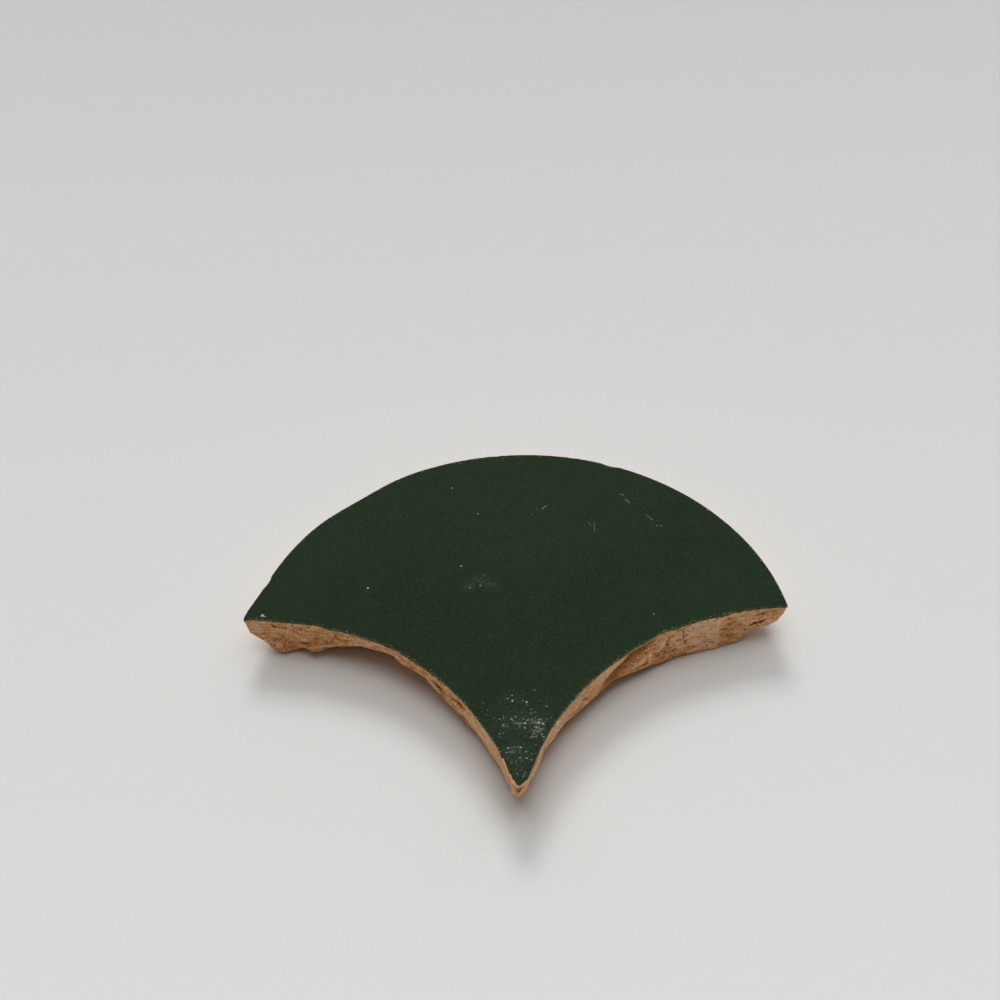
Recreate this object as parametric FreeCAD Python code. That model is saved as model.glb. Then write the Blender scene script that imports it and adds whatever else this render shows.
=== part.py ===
import FreeCAD, Part
import math
import os
from collections import namedtuple

# Fish scale tile, cut by hand from a fired and glazed clay slab.
# The glazed face is up and the back lies on Z = 0. The origin is on the back,
# midway between the two side corners. +Y points to the round head, -Y to the tip.

# Driving dimensions, in millimetres and degrees
width = 120.0              # corner to corner across the glazed face
head_rise = 51.0           # from the line of the corners to the top of the head
tail_drop = 50.0           # from the line of the corners to the point where the bays meet
joint = 1.5                # by which a bay's radius is larger than that of the head it takes
thickness = 12.0
sheer_inset = 0.25         # how far the upright band under the glaze leans in
blow_spread = 0.3          # how far every second chisel blow bites deeper than that

# Each chisel cut: share of the thickness that breaks sheer, and the undercut left at the back.
# The bays are listed from their corner to the tip, and the head repeats its cuts all round.
left_bay_cuts = [(0.80, 2.2), (0.60, 5.0), (0.33, 7.6), (0.23, 8.2), (0.39, 7.2),
                 (0.58, 6.2), (0.66, 5.8), (0.66, 5.8), (0.58, 6.4)]
right_bay_cuts = [(0.90, 0.9), (0.90, 0.6), (0.84, 1.3), (0.74, 2.3), (0.60, 4.2),
                  (0.58, 5.8), (0.49, 6.4), (0.44, 6.6), (0.40, 6.6)]
head_cuts = [(0.48, 2.6), (0.34, 3.4), (0.62, 1.9), (0.41, 3.0), (0.55, 2.2)]
corner_cut = (0.66, 1.6)
tip_cut = (0.36, 6.8)

# What broke away below each corner, outermost first: distance in from the corner,
# and share of the thickness below the glaze
left_break = [(0.2, 0.10), (0.8, 0.40), (4.0, 0.68), (7.0, 1.0)]
right_break = [(0.2, 0.05), (0.8, 0.23), (2.0, 0.42), (3.6, 0.54), (7.4, 0.61), (9.2, 0.77), (10.8, 1.0)]
tip_break = [(1.6, 0.04), (1.9, 0.13), (3.4, 0.25), (6.0, 0.43), (11.0, 0.62), (26.0, 1.0)]

# Hollow that one slanting blow struck out of the right bay's flank, deepest along its upper edge
hollow_place = 0.46        # middle of that edge, as a share of the way from the corner to the tip
hollow_top = 1.6           # from the glaze down to the middle of that edge
hollow_depth = 1.8
hollow_radius = 20.0
hollow_slant = 26.0        # degrees by which that edge falls towards the tip
hollow_lean = 12.0         # degrees by which its floor rises outwards, going down
hollow_cover = 1.0         # glaze and clay left standing over it

# Crack that gapes in the right bay's flank, below the corner
crack_place = 0.075        # its middle, as a share of the way from the corner to the tip
crack_top = 5.3            # from the glaze down to its middle
crack_length = 4.0
crack_gap = 0.9
crack_depth = 2.4
crack_slant = 25.0         # degrees by which it falls towards the tip

# Glaze lost at the tip
tip_loss = 4.1             # from where the bays meet to the end of the glaze
tip_loss_slope = 13.0      # degrees by which the bare end falls away

# Outline: three arcs through the corners and the point where the bays meet
half_width = width / 2
head_radius = (half_width ** 2 + head_rise ** 2) / (2 * head_rise)
bay_radius = head_radius + joint
right_corner = FreeCAD.Vector(half_width, 0, 0)
left_corner = FreeCAD.Vector(-half_width, 0, 0)
tip = FreeCAD.Vector(0, -tail_drop, 0)


def arc_centre(start, end, radius):
    """Centre of an arc that runs counter-clockwise round it from one point to another."""
    chord = end - start
    reach = math.sqrt(radius ** 2 - (chord.Length / 2) ** 2)
    left_of_chord = FreeCAD.Vector(-chord.y, chord.x, 0).normalize()
    return (start + end) * 0.5 + left_of_chord * reach


Cut = namedtuple("Cut", "sheer undercut bite")


def corner_blow(cut):
    """Cut at a corner, where the upright band is plumb."""
    return Cut(*cut, bite=0.0)


def blows(cuts):
    """Cuts along a side, where every second blow bites deeper."""
    return [Cut(*cut, bite=sheer_inset + blow_spread * (blow % 2)) for blow, cut in enumerate(cuts, 1)]


class Side:
    """One arc of the outline, with the chisel cut at its start and those up to its end."""

    def __init__(self, start, end, centre, radius, bulge, start_cut, cuts):
        self.start = start
        self.end = end
        self.centre = centre
        self.radius = radius
        self.bulge = bulge
        self.start_cut = corner_blow(start_cut)
        self.cuts = blows(cuts)

    def angle(self, point):
        """Direction of a point from the arc's centre."""
        return math.atan2(point.y - self.centre.y, point.x - self.centre.x)

    def inset_radius(self, inset):
        """Radius of the arc moved into the tile by an inset."""
        return self.radius - self.bulge * inset

    def at(self, angle, inset, height):
        """Point of the inset arc in a given direction and at a given height."""
        reach = self.inset_radius(inset)
        return FreeCAD.Vector(self.centre.x + reach * math.cos(angle),
                              self.centre.y + reach * math.sin(angle), height)

    def station(self, place, ring_start, ring_end):
        """Direction at a share of the side, eased towards the ends of an inset ring."""
        start, end = self.angle(self.start), self.angle(self.end)
        start_shift = (self.angle(ring_start) - start) * (1 - place) ** 3
        end_shift = (self.angle(ring_end) - end) * place ** 3
        return start + (end - start) * place + start_shift + end_shift


def crossing(side_a, side_b, inset, near):
    """Point nearest to a corner where the inset arcs of two sides cross."""
    radius_a, radius_b = side_a.inset_radius(inset), side_b.inset_radius(inset)
    between = side_b.centre - side_a.centre
    span = between.Length
    along = (span ** 2 + radius_a ** 2 - radius_b ** 2) / (2 * span)
    across = math.sqrt(radius_a ** 2 - along ** 2)
    foot = side_a.centre + between * (along / span)
    normal = FreeCAD.Vector(-between.y, between.x, 0) * (across / span)
    return min((foot + normal, foot - normal), key=lambda point: point.distanceToPoint(near))


head_blows = 2 * (len(left_bay_cuts) + 1)
head = Side(right_corner, left_corner, FreeCAD.Vector(0, head_rise - head_radius, 0), head_radius, 1,
            corner_cut, [head_cuts[blow % len(head_cuts)] for blow in range(head_blows - 1)])
left_bay = Side(left_corner, tip, arc_centre(tip, left_corner, bay_radius), bay_radius, -1,
                corner_cut, left_bay_cuts)
right_bay = Side(tip, right_corner, arc_centre(right_corner, tip, bay_radius), bay_radius, -1,
                 tip_cut, right_bay_cuts[::-1])
sides = [head, left_bay, right_bay]


def foot_level(cut):
    """Inset and height of the foot of the upright band."""
    return cut.bite, thickness * (1 - cut.sheer)


def back_level(cut):
    """Inset and height of the back's outline."""
    return cut.undercut, 0.0


def ring(level):
    """Corners of the flank at one level, counter-clockwise from the right corner."""
    starts = []
    for index, side in enumerate(sides):
        inset, height = level(side.start_cut)
        start = crossing(sides[index - 1], side, inset, side.start)
        starts.append(FreeCAD.Vector(start.x, start.y, height))
    points = []
    for index, side in enumerate(sides):
        ring_start, ring_end = starts[index], starts[(index + 1) % len(sides)]
        points.append(ring_start)
        for blow, cut in enumerate(side.cuts, 1):
            inset, height = level(cut)
            angle = side.station(blow / (len(side.cuts) + 1), ring_start, ring_end)
            points.append(side.at(angle, inset, height))
    return points


def glaze_edges():
    """Arcs of the glazed outline, one for each chisel blow."""
    edges = []
    for side in sides:
        count = len(side.cuts) + 1
        for blow in range(count):
            marks = [side.at(side.station((blow + share) / count, side.start, side.end), 0, thickness)
                     for share in (0, 0.5, 1)]
            edges.append(Part.Arc(*marks).toShape())
    return edges


def line_edges(points):
    """Straight edges around a closed ring of points."""
    return [Part.LineSegment(point, points[(index + 1) % len(points)]).toShape()
            for index, point in enumerate(points)]


def cut_tile():
    """Glazed face, upright band, chisel facets and back, sewn into one solid."""
    top_edges = glaze_edges()
    foot_edges = line_edges(ring(foot_level))
    back_edges = line_edges(ring(back_level))
    faces = [Part.Face(Part.Wire(top_edges)), Part.Face(Part.Wire(back_edges))]
    for upper, middle, lower in zip(top_edges, foot_edges, back_edges):
        faces.append(Part.makeRuledSurface(upper, middle))
        faces.append(Part.makeRuledSurface(middle, lower))
    shell = Part.makeShell(faces)
    shell.sewShape()
    solid = Part.makeSolid(shell)
    if solid.Volume < 0:
        solid.reverse()
    return solid


def prism(section_marks, corner):
    """Prism across the tile, from marks given as distance out past a corner and height."""
    outward = FreeCAD.Vector(corner).normalize()
    across = FreeCAD.Vector(-outward.y, outward.x, 0) * width
    marks = [corner + outward * out + FreeCAD.Vector(0, 0, height) for out, height in section_marks]
    section = Part.Face(Part.makePolygon(marks + marks[:1]))
    section.translate(across * -0.5)
    return section.extrude(across)


def break_waste(profile, corner):
    """What broke away below a corner."""
    edge = [(-inward, thickness * (1 - share)) for inward, share in profile]
    below = -thickness
    beyond = thickness
    return prism(edge + [(edge[-1][0], below), (beyond, below), (beyond, edge[0][1])], corner)


def right_flank(place, slant):
    """Direction at a share of the way from the right bay's corner to the tip, and the flank's axes there:
    outward, and along and down the flank, turned by a slant in degrees that falls towards the tip."""
    angle = right_bay.station(1 - place, right_bay.start, right_bay.end)
    outward = FreeCAD.Vector(-math.cos(angle), -math.sin(angle), 0)
    to_tip = FreeCAD.Vector(-math.sin(angle), math.cos(angle), 0)
    up = FreeCAD.Vector(0, 0, 1)
    turn = math.radians(slant)
    along = to_tip * math.cos(turn) - up * math.sin(turn)
    down = up * -math.cos(turn) - to_tip * math.sin(turn)
    return angle, outward, along, down


def hollow_waste():
    """Leaning cylinder that leaves the hollow in the right bay's flank. Its flat end is the upper edge."""
    angle, outward, _, down_flank = right_flank(hollow_place, hollow_slant)
    lean = math.radians(hollow_lean)
    axis = down_flank * math.cos(lean) + outward * math.sin(lean)
    from_floor = outward * math.cos(lean) - down_flank * math.sin(lean)
    deepest = right_bay.at(angle, hollow_depth, thickness - hollow_top)
    blade = Part.makeCylinder(hollow_radius, 2 * thickness, deepest + from_floor * hollow_radius, axis)
    below_cover = Part.makeBox(half_width, tail_drop, thickness - hollow_cover, tip)
    return blade.common(below_cover)


def crack_waste():
    """Lozenge that leaves the crack in the right bay's flank."""
    angle, outward, along, down = right_flank(crack_place, crack_slant)
    middle = right_bay.at(angle, -crack_depth, thickness - crack_top)
    reach, gape = along * (crack_length / 2), down * (crack_gap / 2)
    corners = [middle + reach, middle + gape, middle - reach, middle - gape]
    section = Part.Face(Part.makePolygon(corners + corners[:1]))
    return section.extrude(outward * (-2 * crack_depth))


def tip_waste():
    """Wedge of glaze and clay lost above the bare end of the tip."""
    beyond = tip_loss
    fall = (tip_loss + beyond) * math.tan(math.radians(tip_loss_slope))
    above = 2 * thickness
    return prism([(-tip_loss, thickness), (beyond, thickness - fall),
                  (beyond, above), (-tip_loss, above)], tip)


tile = cut_tile()
for waste in (break_waste(left_break, left_corner), break_waste(right_break, right_corner),
              break_waste(tip_break, tip), hollow_waste(), crack_waste(), tip_waste()):
    tile = tile.cut(waste)

os.makedirs("parts", exist_ok=True)
tile.exportStep("parts/fish_scale_tile.step")
print("valid", tile.isValid(), "solids", len(tile.Solids), "volume", round(tile.Volume, 1),
      tile.optimalBoundingBox())
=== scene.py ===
import math

import bpy
import numpy as np
from mathutils import Matrix, Vector, kdtree, noise
from mathutils.bvhtree import BVHTree
from mathutils.geometry import delaunay_2d_cdt


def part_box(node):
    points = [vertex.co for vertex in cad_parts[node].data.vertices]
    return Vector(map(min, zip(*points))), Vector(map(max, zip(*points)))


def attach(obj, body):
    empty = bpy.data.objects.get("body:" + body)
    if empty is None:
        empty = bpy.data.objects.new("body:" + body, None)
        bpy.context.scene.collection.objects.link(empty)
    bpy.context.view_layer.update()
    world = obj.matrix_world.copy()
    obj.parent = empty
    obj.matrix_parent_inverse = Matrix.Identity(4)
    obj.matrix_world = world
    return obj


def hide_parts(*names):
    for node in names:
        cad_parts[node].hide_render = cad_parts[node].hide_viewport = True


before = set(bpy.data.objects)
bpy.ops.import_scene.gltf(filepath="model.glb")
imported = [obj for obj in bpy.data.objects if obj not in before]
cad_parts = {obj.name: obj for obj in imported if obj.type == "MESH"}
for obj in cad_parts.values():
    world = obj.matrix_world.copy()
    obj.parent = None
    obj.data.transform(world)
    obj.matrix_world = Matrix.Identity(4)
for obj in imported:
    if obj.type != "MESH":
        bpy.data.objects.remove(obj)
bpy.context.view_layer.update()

# Sizes are in millimetres. They become metres where a mesh or the camera is made.
MM = 0.001
NODE = "fish_scale_tile"

# Outline of the glazed face: the round head and the two hollow bays that meet at the tip
node_high = np.array(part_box(NODE)[1]) / MM
half_width = node_high[0]
head_rise = node_high[1]
thickness = node_high[2]
tail_drop = 50.0
joint = 1.5
head_radius = (half_width ** 2 + head_rise ** 2) / (2 * head_rise)
bay_radius = head_radius + joint
right_corner = np.array([half_width, 0.0])
left_corner = np.array([-half_width, 0.0])
tip = np.array([0.0, -tail_drop])

# Columns of the flank: how far apart they stand, and how far inside the outline their pivots lie
bay_spacing = 0.23
head_spacing = 0.56
column_inset = 12.0

# Rays of a column: their number, how far from the pivot they start, and how far below the face it lies
sweep_steps = 360
sweep_reach = 40.0
skin = 0.02

# Rows of a column, the height up to which the clay is its underside, and how much the underside counts
flank_rows = 76
under_height = 0.3
under_share = 0.25

# Glaze: how far it runs down the flank, where it ends towards the tip, and how ragged both are
glaze_depth = 0.42
depth_jitter = 0.4
glaze_end = -45.7
end_jitter = 0.25

# Rings inside the edge of the face, and the insets between which the thin glaze of its rim fades
rim_steps = [0.12, 0.32, 0.7, 1.3]
rim_fade = (-0.1, 0.8)

# Points of the face: spacings, margins to the last ring, and the room kept to other points
face_spacing = 1.2
face_margin = 0.9
scuff_spacing = 0.5
scuff_margin = 0.35
least_scuff = 0.04
scuff_room = 0.72
ring_room = 0.3
mark_room = 0.25

# Points of the back, and the height of its lumps
back_spacing = 2.0
back_margin = 0.8
back_lumps = 0.3

# How the cutter's hand strayed from the outline: side, place along it from its corner, reach, outward
strays = [
    ("head", 127.0, 9.0, -0.9),
    ("left", 8.5, 4.0, 0.35),
    ("left", 19.0, 2.0, 0.30),
    ("left", 33.5, 5.0, -0.42),
    ("left", 64.0, 8.0, 0.50),
    ("left", 73.5, 3.0, 0.22),
    ("right", 15.5, 2.5, 0.20),
    ("right", 30.0, 3.5, -0.55),
    ("right", 37.0, 2.0, -0.22),
    ("right", 58.0, 4.0, 0.18),
    ("right", 70.5, 4.0, 0.45),
    ("right", 78.0, 4.0, 0.35),
]
stray_depth = 5.0
corner_overrun = np.array([-1.4, 0.2])
corner_reach = 6.0
tip_sway = -0.35

# Width of the nose against the plain outline, from its end towards the middle of the tile: place, share.
# Below the glaze it is pinched by a further share and sways to the left.
nose_shape = [
    (-48.4, 0.08),
    (-47.6, 0.26),
    (-47.0, 0.44),
    (-46.4, 0.72),
    (-45.6, 1.12),
    (-44.6, 1.22),
    (-42.9, 1.22),
    (-39.0, 1.06),
    (-36.0, 1.00),
]
nose_pinch = 0.52
pinch_sway = -0.25
pinch_depth = (0.6, 3.0)
pinch_run = (-43.5, -46.5)

# Lines at the nose, to the right of which, looking along them, the glaze has broken off
glaze_breaks = [
    [(-3.10, -39.2), (-0.35, -45.7)],
    [(0.05, -46.4), (1.25, -44.8)],
]

# Glaze chipped off the edge: side, place along it from its corner, reach, how far in
edge_chips = [
    ("left", 15.3, 1.2, 0.30),
    ("left", 24.5, 0.8, 0.25),
    ("right", 11.8, 1.2, 0.25),
    ("right", 70.5, 1.0, 0.30),
    ("head", 160.0, 1.6, 0.35),
    ("head", 62.0, 1.8, 0.35),
]

# Grooves in the flank, and ridges where the depth is negative: bay, and places along them as
# along from the corner, below the glaze, half width, depth
grooves = [
    ("left", [(3.8, 6.4, 0.2, 0.1), (5.2, 6.7, 0.5, 0.3), (7.4, 6.5, 0.35, 0.25), (9.4, 7.4, 0.3, 0.2)]),
    ("left", [(9.2, 7.0, 0.2, 0.1), (11.0, 7.2, 0.5, 0.35), (13.0, 6.9, 0.4, 0.3), (15.4, 5.9, 0.2, 0.1)]),
    ("left", [(5.0, 1.9, 0.15, 0.1), (6.4, 2.2, 0.4, 0.2), (8.2, 2.2, 0.2, 0.1)]),
    ("left", [(10.8, 1.6, 0.15, 0.1), (12.2, 1.4, 0.4, 0.2), (13.6, 1.2, 0.15, 0.1)]),
    ("left", [(17.6, 3.6, 0.15, 0.1), (18.6, 2.8, 0.3, 0.2), (19.8, 2.3, 0.15, 0.1)]),
    ("left", [(44.8, 3.3, 0.4, 0.5), (46.4, 3.9, 0.85, 1.2), (48.0, 4.0, 0.7, 1.0), (49.6, 4.6, 0.3, 0.4)]),
    ("left", [(50.8, 4.3, 0.3, 0.4), (52.4, 3.6, 0.65, 0.9), (54.6, 3.4, 0.85, 1.2), (55.2, 4.4, 0.4, 0.5)]),
    ("right", [(4.5, 4.5, 0.15, 0.3), (6.3, 5.3, 0.45, 1.0), (8.1, 6.1, 0.15, 0.3)]),
    ("right", [(23.2, 7.0, 0.3, 0.4), (23.4, 6.2, 0.4, 0.8), (23.0, 5.4, 0.25, 0.4)]),
    ("right", [(24.2, 0.9, 0.2, 0.35), (24.0, 3.2, 0.24, 0.45), (23.8, 5.4, 0.2, 0.35)]),
    ("right", [(27.2, 3.2, 0.35, 0.8), (28.2, 4.2, 0.3, 0.6), (27.4, 5.6, 0.25, 0.5), (28.6, 6.6, 0.2, 0.3)]),
    ("right", [(27.6, 3.5, 0.3, -0.3), (29.4, 4.7, 0.35, -0.4), (30.4, 5.6, 0.3, -0.3)]),
    ("right", [(32.4, 5.2, 0.4, -0.5), (34.7, 6.6, 0.5, -0.7), (37.0, 7.3, 0.3, -0.4)]),
    ("right", [(32.4, 5.2, 0.4, -0.5), (32.6, 7.4, 0.4, -0.5), (33.3, 8.8, 0.3, -0.3)]),
    ("right", [(45.3, 1.6, 0.15, 0.2), (45.4, 2.6, 0.25, 0.4), (45.2, 3.7, 0.15, 0.2)]),
    ("right", [(50.2, 2.4, 0.3, 0.2), (52.0, 2.8, 0.4, 0.3), (53.2, 3.2, 0.2, 0.1)]),
    ("right", [(51.3, 4.9, 0.3, 0.5), (52.0, 4.6, 0.45, 0.8), (52.7, 4.5, 0.2, 0.3)]),
    ("right", [(53.0, 5.7, 0.2, 0.3), (54.4, 5.6, 0.35, 0.7), (55.4, 5.8, 0.3, 0.5), (57.0, 5.4, 0.2, 0.3)]),
]

# Lumps on the flank: bay, along, below the glaze, reach, height
lumps = [
    ("left", 5.6, 10.2, 1.8, 1.1),
    ("left", 13.4, 8.6, 1.7, 1.2),
    ("left", 12.0, 4.5, 2.6, 0.2),
    ("left", 36.4, 3.2, 1.6, 0.6),
]

# Patches of the flank whose tone is lighter (above 0) or darker (below 0):
# bay, along, below the glaze, reach along, reach down, shift
patches = [
    ("left", 6.5, 8.2, 3.2, 1.8, -0.22),
    ("left", 12.5, 7.4, 2.8, 0.9, -0.20),
    ("left", 6.6, 2.2, 2.2, 0.5, -0.14),
    ("left", 12.4, 1.6, 2.2, 0.7, -0.16),
    ("left", 19.0, 5.0, 3.0, 1.2, -0.14),
    ("left", 54.8, 7.1, 2.6, 0.9, -0.30),
    ("left", 63.0, 4.5, 12.0, 5.0, 0.16),
    ("right", 6.5, 2.2, 4.5, 1.3, -0.10),
    ("right", 13.2, 6.0, 1.9, 5.4, -0.20),
    ("right", 3.0, 4.0, 2.4, 2.4, 0.10),
    ("right", 20.0, 4.6, 4.6, 5.6, 0.12),
    ("right", 27.6, 3.2, 3.4, 2.8, 0.18),
    ("right", 24.4, 8.6, 1.8, 1.5, -0.20),
    ("right", 28.6, 7.2, 2.0, 1.8, -0.12),
    ("right", 35.0, 7.6, 1.6, 1.4, -0.18),
    ("right", 44.5, 2.0, 5.0, 2.2, 0.24),
    ("right", 66.0, 3.5, 12.0, 4.0, 0.16),
    ("left", 81.0, 3.5, 5.0, 4.0, 0.12),
    ("right", 81.0, 3.5, 5.0, 4.0, 0.12),
]

# Line where a light facet of the right bay stands proud of its brown neighbour, how soft that step is,
# and how strong the facet's dust and speckle are and how far they reach
facet_line = [(16.0, 0.6), (14.6, 10.8)]
facet_height = 0.3
facet_reach = 4.0
facet_edge = 0.12
facet_dust = 0.18
facet_dust_reach = 8.0
facet_speckle = 0.6
facet_speckle_reach = 12.0

# Streaks of the brown neighbour: how far they reach from the line, their relief and their tone
streak_reach = 3.5
streak_relief = 0.16
streak_tone = 0.40

# Fresh break in the hollow of the right bay: its sharp edge, how far it reaches from it, how far it runs
# on past its start and its end, and how much smoother, plainer and browner it is, the brown being partly its
# own colour and partly painted shade in the hollow, which faces down under the glaze
break_edge = [(37.6, 0.9), (47.0, 5.7)]
break_reach = (1.5, 6.5)
break_lead = 9.0
break_trail = 3.0
break_calm = 0.7
break_plain = 0.8
break_brown_and_shade = 0.50

# Brown notch in the bare end of the tip: place, reach, depth, how brown it is, and how far down it goes
notch = np.array([0.15, -46.95])
notch_reach = np.array([1.1, 0.5])
notch_depth = 0.3
notch_brown = 0.75
notch_floor = 1.5

# Bare clay: how far the nose's bare end fades and how deep its tan reaches, the tan darkened by painted shade
# so that the top-facing bare clay renders no lighter than the flank; and the painted shadow of the glaze's
# overhang, a brown
# line just under the glaze: its depths and how dark it is
nose_fade = 0.5
bare_depth = (0.8, 1.6)
overhang_shade_depth = (0.4, 0.75)
overhang_shade = 0.25

# Grain of the broken clay: relief in millimetres and shift of the tone that each kind makes
broad_relief = 0.22
broad_tone = 0.06
plain_tone = 0.55
grain_relief = {"middle": 0.10, "fine": 0.05, "beds": 0.06, "flakes": 0.07, "crumbs": 0.035, "pits": -0.20}
grain_tone = {"beds": 0.08, "flakes": 0.06, "crumbs": 0.05, "pits": -0.16}
# Painted shade that darkens the grooves, and a lightening of the ridges that is partly dust and partly
# painted highlight
groove_shade = 0.62
ridge_dust_and_highlight = 0.8

# How much of the grain is left at the tip and at the corners, and over what distance it comes back
tip_grain = 0.15
tip_calm = (1.5, 9.0)
corner_grain = 0.2
corner_calm = (0.3, 3.0)

# White scuffs on the glaze: place, reach across and along, and how dense they are
scuffs = [
    ((3.6, -30.0), (1.9, 0.8), 0.95),
    ((3.8, -32.4), (1.3, 1.3), 0.95),
    ((0.6, -30.2), (1.8, 0.8), 0.70),
    ((-1.0, -24.4), (3.0, 1.2), 0.22),
    ((-4.0, -29.0), (2.4, 1.8), 0.20),
    ((-2.4, -32.6), (2.0, 1.2), 0.22),
    ((-1.6, -37.0), (1.7, 0.9), 0.75),
    ((1.4, -38.4), (1.2, 1.6), 0.30),
    ((0.0, -42.0), (1.0, 2.2), 0.35),
    ((0.4, -30.0), (5.5, 4.5), 0.26),
    ((-0.4, -39.0), (2.6, 4.0), 0.34),
    ((-11.0, 8.2), (0.9, 1.0), 0.50),
    ((-8.4, 10.0), (1.2, 0.9), 0.42),
    ((-6.0, 8.6), (1.3, 0.8), 0.40),
]

# Chips in the glaze and the brightest scuffs: place, radius, stretch, direction in degrees, whiteness
marks = [
    ((-56.2, 0.7), 0.42, 1.3, -40, 1.0),
    ((-55.5, 0.4), 0.30, 1.4, -10, 1.0),
    ((-56.3, 1.2), 0.26, 1.0, 0, 1.0),
    ((-33.9, 8.6), 0.26, 1.0, 0, 1.0),
    ((-12.8, 14.6), 0.22, 1.0, 0, 1.0),
    ((-15.4, 40.1), 0.20, 1.0, 0, 0.8),
    ((-9.0, 31.3), 0.17, 1.0, 0, 0.8),
    ((5.0, 32.4), 0.14, 1.0, 0, 0.5),
    ((3.7, 30.5), 0.12, 1.5, 0, 0.3),
    ((31.8, 27.7), 0.16, 1.2, -50, 0.7),
    ((32.9, 25.9), 0.13, 1.5, -20, 0.55),
    ((33.8, 25.7), 0.13, 2.0, -10, 0.6),
    ((30.2, -1.4), 0.18, 1.0, 0, 0.7),
    ((-1.4, -24.4), 0.19, 1.5, -20, 1.0),
    ((-1.4, -23.0), 0.13, 1.5, 60, 0.7),
    ((-2.3, -23.8), 0.13, 1.8, 20, 0.7),
    ((1.7, -24.9), 0.18, 1.9, 40, 0.9),
    ((-1.6, -29.3), 0.16, 1.8, -50, 0.8),
    ((1.2, -30.4), 0.18, 1.4, -30, 1.0),
    ((1.2, -31.6), 0.18, 1.4, -30, 0.9),
    ((4.1, -30.2), 0.19, 1.4, -10, 1.0),
    ((5.1, -30.7), 0.18, 1.8, -40, 0.9),
    ((4.7, -32.0), 0.16, 1.2, 0, 0.7),
    ((4.7, -33.3), 0.16, 1.6, -50, 0.8),
    ((3.1, -33.0), 0.14, 1.3, 30, 0.7),
    ((-1.4, -37.6), 0.11, 2.4, -15, 0.8),
    ((-2.6, -37.7), 0.10, 3.0, 20, 0.6),
    ((0.3, -36.5), 0.16, 1.4, -30, 0.9),
    ((1.3, -37.6), 0.16, 1.1, 0, 0.9),
    ((1.4, -39.3), 0.16, 1.3, -40, 1.0),
    ((2.2, -39.7), 0.08, 4.0, -20, 0.5),
    ((-0.2, -43.1), 0.10, 2.4, -50, 0.5),
]

# Scratches in the glaze, drawn as rows of small marks: start, end, whiteness
scratches = [
    ((6.1, 32.2), (7.3, 33.4), 0.60),
    ((24.8, 36.5), (25.8, 36.1), 0.70),
    ((26.0, 34.6), (27.0, 33.6), 0.50),
    ((30.6, 29.5), (31.6, 28.0), 0.25),
    ((18.3, 27.2), (18.2, 24.3), 0.30),
    ((17.0, 27.6), (17.4, 26.2), 0.20),
    ((-1.6, -29.4), (-1.0, -29.8), 0.45),
    ((-1.2, -30.5), (0.8, -30.4), 0.40),
    ((2.4, -30.2), (4.8, -30.6), 0.45),
    ((3.3, -31.5), (4.3, -31.9), 0.40),
    ((2.9, -32.3), (4.1, -32.7), 0.35),
    ((2.7, -33.9), (3.8, -33.9), 0.30),
    ((-1.3, -36.4), (0.1, -36.5), 0.35),
    ((-2.0, -37.6), (-1.0, -37.7), 0.50),
    ((0.7, -44.0), (1.1, -42.6), 0.30),
]
scratch_step = 0.45
scratch_radius = 0.11
scratch_stretch = 2.2

# Outline of a mark: its corners, the share of its reach that is all white, how ragged and deep it is
mark_corners = 7
mark_core = 0.7
mark_raggedness = 0.5
mark_depth = 0.05


def eased(low, high, value):
    """Step from 0 to 1 between two values, eased at both ends."""
    share = np.clip((value - low) / (high - low), 0, 1)
    return share * share * (3 - 2 * share)


def noise_at(points, size, shift=0.0):
    """Smooth noise between about -1 and 1, with features of one size, at an array of points."""
    flat = points.reshape(-1, 3) / size + shift
    return np.array([noise.noise(point) for point in flat.tolist()]).reshape(points.shape[:-1])


def cells_at(points, size, shift=0.0):
    """Distance from the middle of random cells of one size, and a value from -1 to 1 of each."""
    distance, lot = [], []
    for point in (points.reshape(-1, 3) / size + shift).tolist():
        distances, centres = noise.voronoi(point)
        distance.append(distances[0])
        lot.append(noise.cell(centres[0] * 7.3))
    shape = points.shape[:-1]
    return np.array(distance).reshape(shape), np.array(lot).reshape(shape)


# Outline

def arc_centre(start, end, radius):
    """Centre of an arc that runs counter-clockwise round it from one point to another."""
    chord = end - start
    reach = math.sqrt(radius ** 2 - (chord @ chord) / 4)
    left_of_chord = np.array([-chord[1], chord[0]]) / np.linalg.norm(chord)
    return (start + end) / 2 + left_of_chord * reach


class Side:
    """One arc of the outline."""

    def __init__(self, name, start, end, centre, radius, bulge, spacing):
        self.name = name
        self.start = start
        self.end = end
        self.centre = centre
        self.radius = radius
        self.bulge = bulge
        self.first = self.angle(start)
        self.last = self.angle(end)
        self.length = radius * abs(self.last - self.first)
        self.columns = round(self.length / spacing)

    def angle(self, point):
        """Direction of a point from the arc's centre."""
        return math.atan2(point[1] - self.centre[1], point[0] - self.centre[0])

    def at(self, angles, inset):
        """Points of the arc moved into the tile by an inset."""
        reach = self.radius - self.bulge * inset
        return self.centre + reach * np.stack([np.cos(angles), np.sin(angles)], axis=-1)

    def inset_of(self, points):
        """How far points lie inside the tile from this arc."""
        return self.bulge * (self.radius - np.linalg.norm(points - self.centre, axis=-1))


head = Side("head", right_corner, left_corner, np.array([0.0, head_rise - head_radius]), head_radius, 1,
            head_spacing)
left_bay = Side("left", left_corner, tip, arc_centre(tip, left_corner, bay_radius), bay_radius, -1,
                bay_spacing)
right_bay = Side("right", tip, right_corner, arc_centre(right_corner, tip, bay_radius), bay_radius, -1,
                 bay_spacing)
sides = [head, left_bay, right_bay]


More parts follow.
